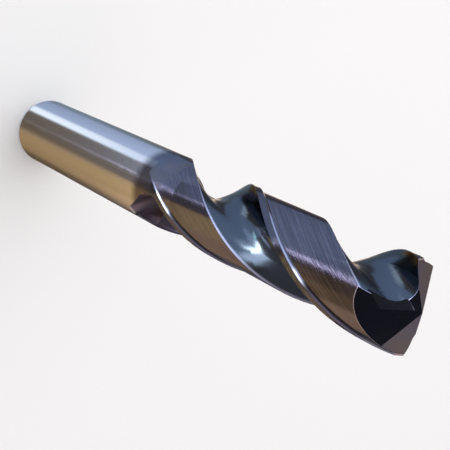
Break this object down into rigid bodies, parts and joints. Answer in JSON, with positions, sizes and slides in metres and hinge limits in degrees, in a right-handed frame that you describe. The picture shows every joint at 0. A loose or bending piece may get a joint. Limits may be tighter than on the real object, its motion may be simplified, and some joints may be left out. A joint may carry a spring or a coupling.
{
  "type": "solid carbide twist drill",
  "caption": "Short two-flute right-hand drill ground from one rod, with a plain round shank, stepped margins, a relieved body behind them and a split four-facet point.",
  "frame": {"origin": "centre of the shank's flat end face", "axes": "+Z along the drill's axis, from the shank end up to the point; the two cutting lips run parallel to X"},
  "size_m": [0.012, 0.012, 0.102],
  "materials": {
    "carbide": "ground tungsten carbide, bright on the shank, under a dark violet-grey nitride coating on the fluted part"
  },
  "bodies": {
    "root": {"drill": "carbide"}
  },
  "joints": []
}
